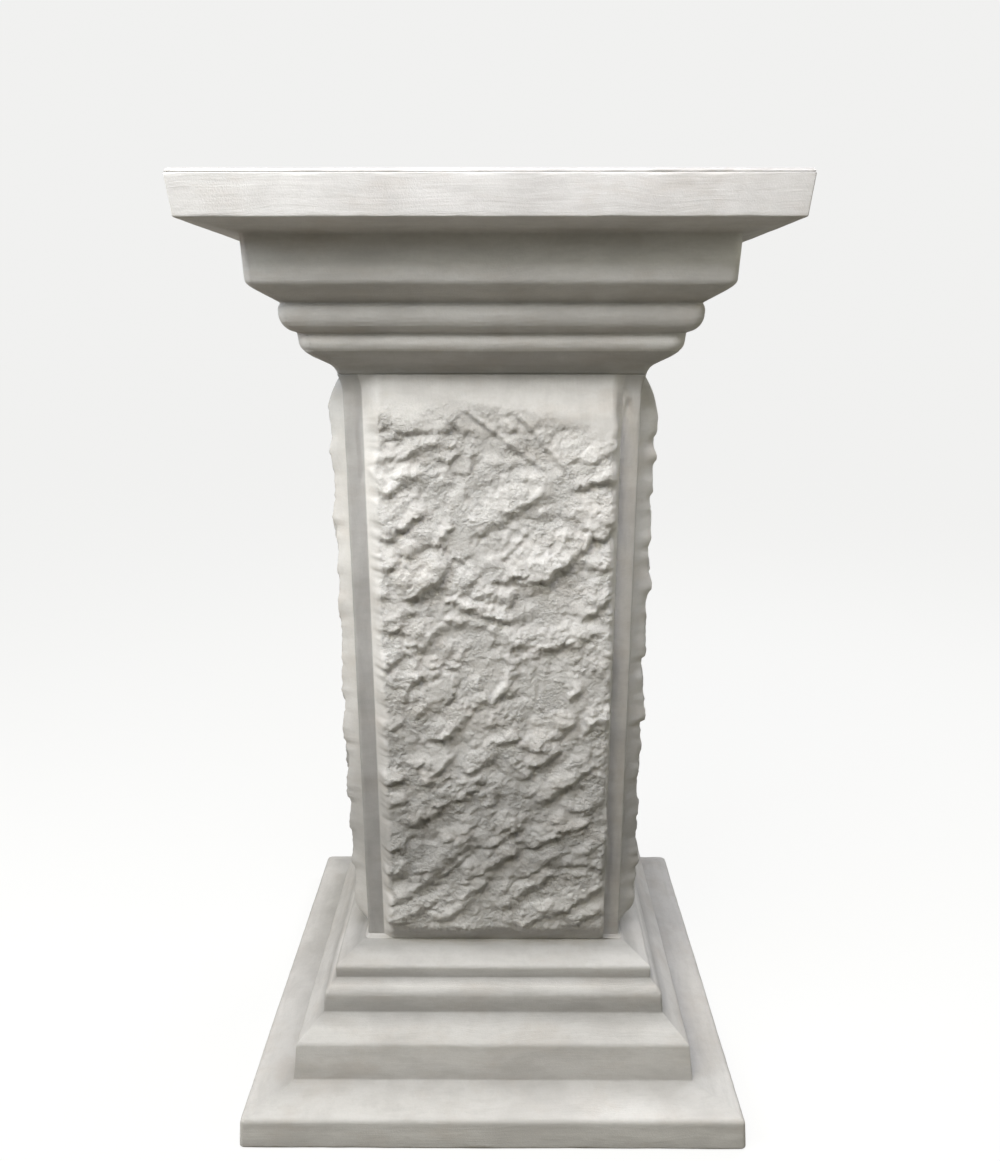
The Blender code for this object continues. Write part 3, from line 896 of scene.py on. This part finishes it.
def grain_group():
    """Sandy grain under the paint, and the crumb of the rock faces, which comes in patches."""
    group, leave = new_group("sandy_grain", ("Height", "Crumb", "Speckle"))
    place = group.nodes.new("ShaderNodeTexCoord").outputs["Object"]
    patches = spread(group, noise_node(group, place, 60.0, 2.0, 0.5), 0.42, 0.58)
    amount = math_node(group, "ADD", math_node(group, "MULTIPLY", patches, 0.65), 0.35)
    crumb = math_node(group, "MULTIPLY", noise_node(group, place, 420.0, 4.0, 0.62), amount)
    group.links.new(noise_node(group, place, 900.0, 3.0, 0.6), leave.inputs["Height"])
    group.links.new(crumb, leave.inputs["Crumb"])
    speckle = spread(group, noise_node(group, place, 520.0, 5.0, 0.72), 0.34, 0.66)
    group.links.new(speckle, leave.inputs["Speckle"])
    return group


# %% [markdown]
# The colours are laid over each other as thin glazes, each by its own mask and amount: clouds first, then the
# streaks of the brush, which only smooth work has, then spots and speckle. Last the tone of the point scales
# it: below 1 it is painted shade, above 1 painted light, with some grime and mottling on the shaft. The
# heights of brush, sand and crumb are added up in one bump.

# %% Painted cast stone
PAINT = (0.764, 0.738, 0.714)
GREY_CLOUD = (0.585, 0.558, 0.535)
WARM_CLOUD = (0.64, 0.585, 0.535)
DARK_STREAK = (0.52, 0.505, 0.48)
PALE_STREAK = (0.80, 0.79, 0.765)
SPOT = (0.56, 0.545, 0.52)
SPECKLE = (0.50, 0.485, 0.455)
BRUSH_HEIGHT = 0.5
SAND_HEIGHT = 0.45
CRUMB_HEIGHT = 6.0
BUMP_DISTANCE = 0.0004


def painted_stone():
    """Off-white masonry paint, matt, with stains, brush marks and grain."""
    material = bpy.data.materials.new("painted_cast_stone")
    material.use_nodes = True
    tree = material.node_tree
    shader = tree.nodes["Principled BSDF"]
    shader.inputs["Roughness"].default_value = 0.72
    shader.inputs["Specular IOR Level"].default_value = 0.35
    parts = {}
    for label, group in (("brush", brush_group()), ("stain", stain_group()), ("grain", grain_group())):
        node = tree.nodes.new("ShaderNodeGroup")
        node.node_tree = group
        parts[label] = node.outputs
    rock = point_value(tree, "rock")
    tone = point_value(tree, "tone")
    smooth_work = math_node(tree, "SUBTRACT", 1.0, rock)

    dark_streak = math_node(tree, "MULTIPLY", spread(tree, parts["brush"]["Streak"], 0.50, 0.70), smooth_work)
    pale_streak = math_node(tree, "MULTIPLY", spread(tree, parts["brush"]["Streak"], 0.48, 0.32), smooth_work)
    speckle_depth = math_node(tree, "ADD", math_node(tree, "MULTIPLY", rock, 0.44), 0.12)
    glazes = (
        (GREY_CLOUD, parts["stain"]["Grey"], 0.55),
        (WARM_CLOUD, parts["stain"]["Warm"], 0.45),
        (DARK_STREAK, dark_streak, 0.30),
        (PALE_STREAK, pale_streak, 0.22),
        (SPOT, parts["stain"]["Spots"], 0.22),
        (SPECKLE, parts["grain"]["Speckle"], speckle_depth),
    )
    ground = tree.nodes.new("ShaderNodeRGB")
    ground.outputs[0].default_value = (*PAINT, 1.0)
    colour = ground.outputs[0]
    for glaze, mask, amount in glazes:
        colour = tint(tree, colour, glaze, math_node(tree, "MULTIPLY", mask, amount))
    toned = tree.nodes.new("ShaderNodeVectorMath")
    toned.operation = "SCALE"
    tree.links.new(colour, toned.inputs[0])
    tree.links.new(tone, toned.inputs["Scale"])
    tree.links.new(toned.outputs["Vector"], shader.inputs["Base Color"])

    brushed = math_node(tree, "MULTIPLY", smooth_work, BRUSH_HEIGHT)
    coarse = math_node(tree, "MULTIPLY", parts["brush"]["Height"], brushed)
    fine = math_node(tree, "MULTIPLY", parts["brush"]["Fine"], math_node(tree, "MULTIPLY", brushed, 0.5))
    sand = math_node(tree, "MULTIPLY", parts["grain"]["Height"], SAND_HEIGHT)
    crumbly = math_node(tree, "MULTIPLY", rock, CRUMB_HEIGHT)
    crumb = math_node(tree, "MULTIPLY", parts["grain"]["Crumb"], crumbly)
    total = math_node(tree, "ADD", math_node(tree, "ADD", coarse, fine), math_node(tree, "ADD", sand, crumb))
    bump = tree.nodes.new("ShaderNodeBump")
    bump.inputs["Strength"].default_value = 1.0
    bump.inputs["Distance"].default_value = BUMP_DISTANCE
    tree.links.new(total, bump.inputs["Height"])
    tree.links.new(bump.outputs["Normal"], shader.inputs["Normal"])
    return material


stone = painted_stone()
for piece in (base_piece, shaft_piece, capital_piece, filler):
    piece.data.materials.append(stone)
print("paint of", len(stone.node_tree.nodes), "nodes on four pieces")

# %% [markdown]
# ## Floor
# A plain pale floor runs out into a plain pale distance, as a paper roll does in a studio. It is pale mostly
# by its own glow, so that the lamps leave no pool of light on it and it meets the distance without a line.
# Its light is kept off the column, whose tones come from the lamps and the sky alone.

# %% Floor
FLOOR_HALF = 30.0
PALE = 0.87
FLOOR_TONE = 0.15
# What the soft sky adds to the floor far away
FAR_GLOW = 0.0083
floor_mesh = bpy.data.meshes.new("studio_floor")
corners = [(-FLOOR_HALF, -FLOOR_HALF, 0), (FLOOR_HALF, -FLOOR_HALF, 0),
           (FLOOR_HALF, FLOOR_HALF, 0), (-FLOOR_HALF, FLOOR_HALF, 0)]
floor_mesh.from_pydata(corners, [], [(0, 1, 2, 3)])
floor = bpy.data.objects.new("studio_floor", floor_mesh)
bpy.context.scene.collection.objects.link(floor)
floor_material = bpy.data.materials.new("pale_paper")
floor_material.use_nodes = True
paper = floor_material.node_tree.nodes["Principled BSDF"]
paper.inputs["Base Color"].default_value = (FLOOR_TONE, FLOOR_TONE, FLOOR_TONE, 1.0)
paper.inputs["Roughness"].default_value = 0.9
paper.inputs["Specular IOR Level"].default_value = 0.0
paper.inputs["Emission Color"].default_value = (1.0, 1.0, 0.99, 1.0)
paper.inputs["Emission Strength"].default_value = PALE
floor_mesh.materials.append(floor_material)
floor.visible_diffuse = False
floor.visible_glossy = False
print("floor", 2 * FLOOR_HALF, "m wide")

# %% [markdown]
# ## Light
# The light of the photograph is soft and comes mostly from the left, from the front and from above. Six
# square lamps and two lobes of soft sky give it. A lobe is brightest in one direction and fades to nothing at
# right angles to it: the first one rises from below, and the second one comes from behind.

# %% Light
# Soft square lamps: name, place, size, watts and colour
LAMPS = (
    ("front_lamp", (-0.60, -1.10, 1.70), 0.60, 9.2, (1.0, 0.89, 0.60)),
    ("left_lamp", (-0.85, -0.60, 1.15), 0.50, 7.9, (0.84, 0.93, 1.0)),
    ("top_lamp", (0.0, -0.55, 1.25), 0.45, 5.4, (0.84, 0.87, 1.0)),
    ("low_left_lamp", (-1.20, -0.30, 0.55), 0.50, 2.2, (1.0, 0.89, 0.78)),
    ("right_lamp", (1.20, -0.90, 0.90), 0.60, 4.4, (1.0, 1.0, 0.85)),
    ("back_lamp", (0.90, 0.70, 1.70), 0.70, 12.0, (0.94, 0.96, 1.0)),
)
# Lobes of the sky: direction, strength and colour
SKY_LOBES = (
    ((0, 0, -1), 0.345, (1.0, 0.95, 0.79)),
    ((0, 1, 0.2), 0.30, (1.0, 1.0, 1.0)),
)
# All the lamps face this place in the shaft
AIM = (0.0, 0.0, 0.42)


def soft_lamp(name, place, size, watts, colour):
    """Square area lamp at a place, facing the column."""
    lamp = bpy.data.lights.new(name, "AREA")
    lamp.shape = "SQUARE"
    lamp.size = size
    lamp.energy = watts
    lamp.color = colour
    holder = bpy.data.objects.new(name, lamp)
    holder.location = place
    holder.rotation_euler = (Vector(AIM) - Vector(place)).to_track_quat("-Z", "Y").to_euler()
    bpy.context.scene.collection.objects.link(holder)


def soft_sky(lobes):
    """World whose light in a direction is the sum over lobes of strength * max(0, direction . lobe)^2."""
    world = bpy.data.worlds.new("soft_sky")
    world.use_nodes = True
    tree = world.node_tree
    direction = tree.nodes.new("ShaderNodeTexCoord")
    total = None
    for axis, strength, colour in lobes:
        dot = tree.nodes.new("ShaderNodeVectorMath")
        dot.operation = "DOT_PRODUCT"
        tree.links.new(direction.outputs["Generated"], dot.inputs[0])
        dot.inputs[1].default_value = Vector(axis).normalized()
        facing = math_node(tree, "MAXIMUM", dot.outputs["Value"], 0.0)
        glow = tree.nodes.new("ShaderNodeVectorMath")
        glow.operation = "SCALE"
        glow.inputs[0].default_value = [strength * c for c in colour]
        tree.links.new(math_node(tree, "POWER", facing, 2.0), glow.inputs["Scale"])
        if total is None:
            total = glow.outputs["Vector"]
            continue
        add = tree.nodes.new("ShaderNodeVectorMath")
        tree.links.new(total, add.inputs[0])
        tree.links.new(glow.outputs["Vector"], add.inputs[1])
        total = add.outputs["Vector"]
    seen = tree.nodes.new("ShaderNodeMix")
    seen.data_type = "RGBA"
    tree.links.new(tree.nodes.new("ShaderNodeLightPath").outputs["Is Camera Ray"], seen.inputs["Factor"])
    tree.links.new(total, seen.inputs["A"])
    seen.inputs["B"].default_value = (PALE + FAR_GLOW, PALE + FAR_GLOW, 0.99 * PALE + FAR_GLOW, 1.0)
    tree.links.new(seen.outputs["Result"], tree.nodes["Background"].inputs["Color"])
    return world


for lamp_row in LAMPS:
    soft_lamp(*lamp_row)
bpy.context.scene.world = soft_sky(SKY_LOBES)
bpy.context.scene.view_settings.view_transform = "Standard"
print(len(LAMPS), "lamps and", len(SKY_LOBES), "lobes of sky")

# %% [markdown]
# ## Camera
# The camera stands close, a little below the slab's top, and looks down at the base, so the upright lines of
# the column run together towards its foot. Lens, place and tilt were worked out from the lines of the
# photograph. It stands slightly off the column's middle and is turned back a little.

# %% Camera
PHOTO_HEIGHT = 1161
FOCAL_PIXELS = 948.2
CENTRE_ROW = 632.8
PITCH_DOWN = 17.33
YAW_LEFT = 0.24
# The sensor's longer side, which is the photograph's height
SENSOR_SIZE = 36.0
CAMERA_PLACE = (9 * MM, -838 * MM, 647.3 * MM)
camera_data = bpy.data.cameras.new("camera")
camera = bpy.data.objects.new("camera", camera_data)
camera_data.sensor_width = SENSOR_SIZE
camera_data.lens = FOCAL_PIXELS / PHOTO_HEIGHT * SENSOR_SIZE
camera_data.shift_y = (CENTRE_ROW - PHOTO_HEIGHT / 2) / PHOTO_HEIGHT
camera_data.clip_start = 0.05
camera_data.clip_end = 50.0
camera.location = CAMERA_PLACE
camera.rotation_euler = (math.radians(90 - PITCH_DOWN), 0.0, math.radians(YAW_LEFT))
bpy.context.scene.collection.objects.link(camera)
bpy.context.scene.camera = camera
print("camera lens", round(camera_data.lens, 2), "mm")
